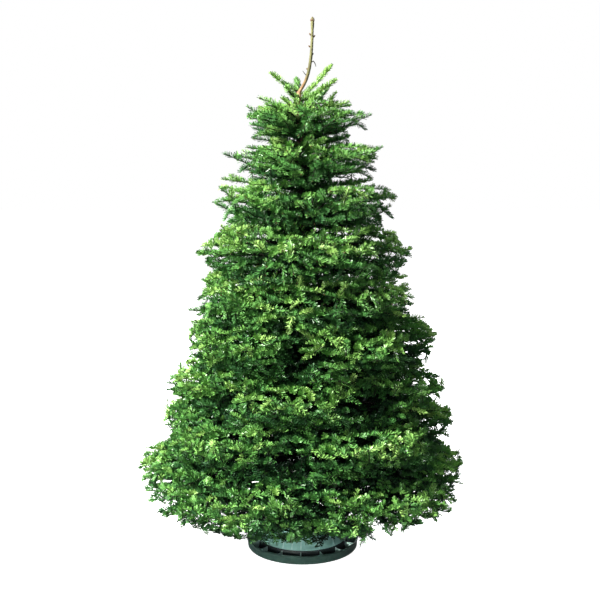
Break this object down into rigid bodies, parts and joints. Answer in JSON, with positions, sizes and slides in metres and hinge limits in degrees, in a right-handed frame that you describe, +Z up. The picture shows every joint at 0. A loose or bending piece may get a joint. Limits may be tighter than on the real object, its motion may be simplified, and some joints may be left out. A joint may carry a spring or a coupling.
{
  "type": "christmas tree",
  "caption": "Undecorated cut fir Christmas tree with tiered boughs of short needles and a bare leader, standing in a round green moulded stand.",
  "frame": {"origin": "middle of the stand's flat underside, on the floor", "axes": "+Z up the tree, -Y towards the front, +X to the tree's right as seen from the front"},
  "size_m": [1.2947, 1.3122, 2.05],
  "materials": {
    "needles": "satin mid-green fir needles, darker inside the crown",
    "young_needles": "satin yellow-green young needles",
    "bark": "matt grey-brown bark, paler on the leader",
    "stand_green": "moulded dark grey-green plastic, slight gloss",
    "screw_steel": "plain steel"
  },
  "bodies": {
    "root": {"stand_base": "stand_green", "stand_rim": "stand_green", "stand_dome": "stand_green", "stand_socket": "stand_green", "stand_screw_1": "screw_steel", "stand_screw_2": "screw_steel", "stand_screw_3": "screw_steel", "stand_screw_4": "screw_steel", "trunk": "bark", "foliage_top_shoot_1": "young_needles", "foliage_top_shoot_2": "young_needles", "foliage_top_shoot_3": "young_needles", "foliage_top_shoot_4": "young_needles", "foliage_top_shoot_5": "young_needles", "foliage_tier_2": "needles", "foliage_tier_3": "needles", "foliage_tier_4": "needles", "foliage_tier_5_1": "needles", "foliage_tier_5_2": "needles", "foliage_tier_5_3": "needles", "foliage_tier_5_4": "needles", "foliage_tier_6_1": "needles", "foliage_tier_6_2": "needles", "foliage_tier_6_3": "needles", "foliage_tier_6_4": "needles", "foliage_tier_7_1": "needles", "foliage_tier_7_2": "needles", "foliage_tier_7_3": "needles", "foliage_tier_7_4": "needles", "foliage_tier_7_5": "needles", "foliage_tier_8_1": "needles", "bough_tier_8_1": "bark", "foliage_tier_8_2": "needles", "bough_tier_8_2": "bark", "foliage_tier_8_3": "needles", "bough_tier_8_3": "bark", "foliage_tier_8_4": "needles", "bough_tier_8_4": "bark", "foliage_tier_8_5": "needles", "bough_tier_8_5": "bark", "foliage_tier_9_1": "needles", "bough_tier_9_1": "bark", "foliage_tier_9_2": "needles", "bough_tier_9_2": "bark", "foliage_tier_9_3": "needles", "bough_tier_9_3": "bark", "foliage_tier_9_4": "needles", "bough_tier_9_4": "bark", "foliage_tier_9_5": "needles", "bough_tier_9_5": "bark", "foliage_tier_10_1": "needles", "bough_tier_10_1": "bark", "foliage_tier_10_2": "needles", "bough_tier_10_2": "bark", "foliage_tier_10_3": "needles", "bough_tier_10_3": "bark", "foliage_tier_10_4": "needles", "bough_tier_10_4": "bark", "foliage_tier_10_5": "needles", "bough_tier_10_5": "bark"}
  },
  "joints": []
}
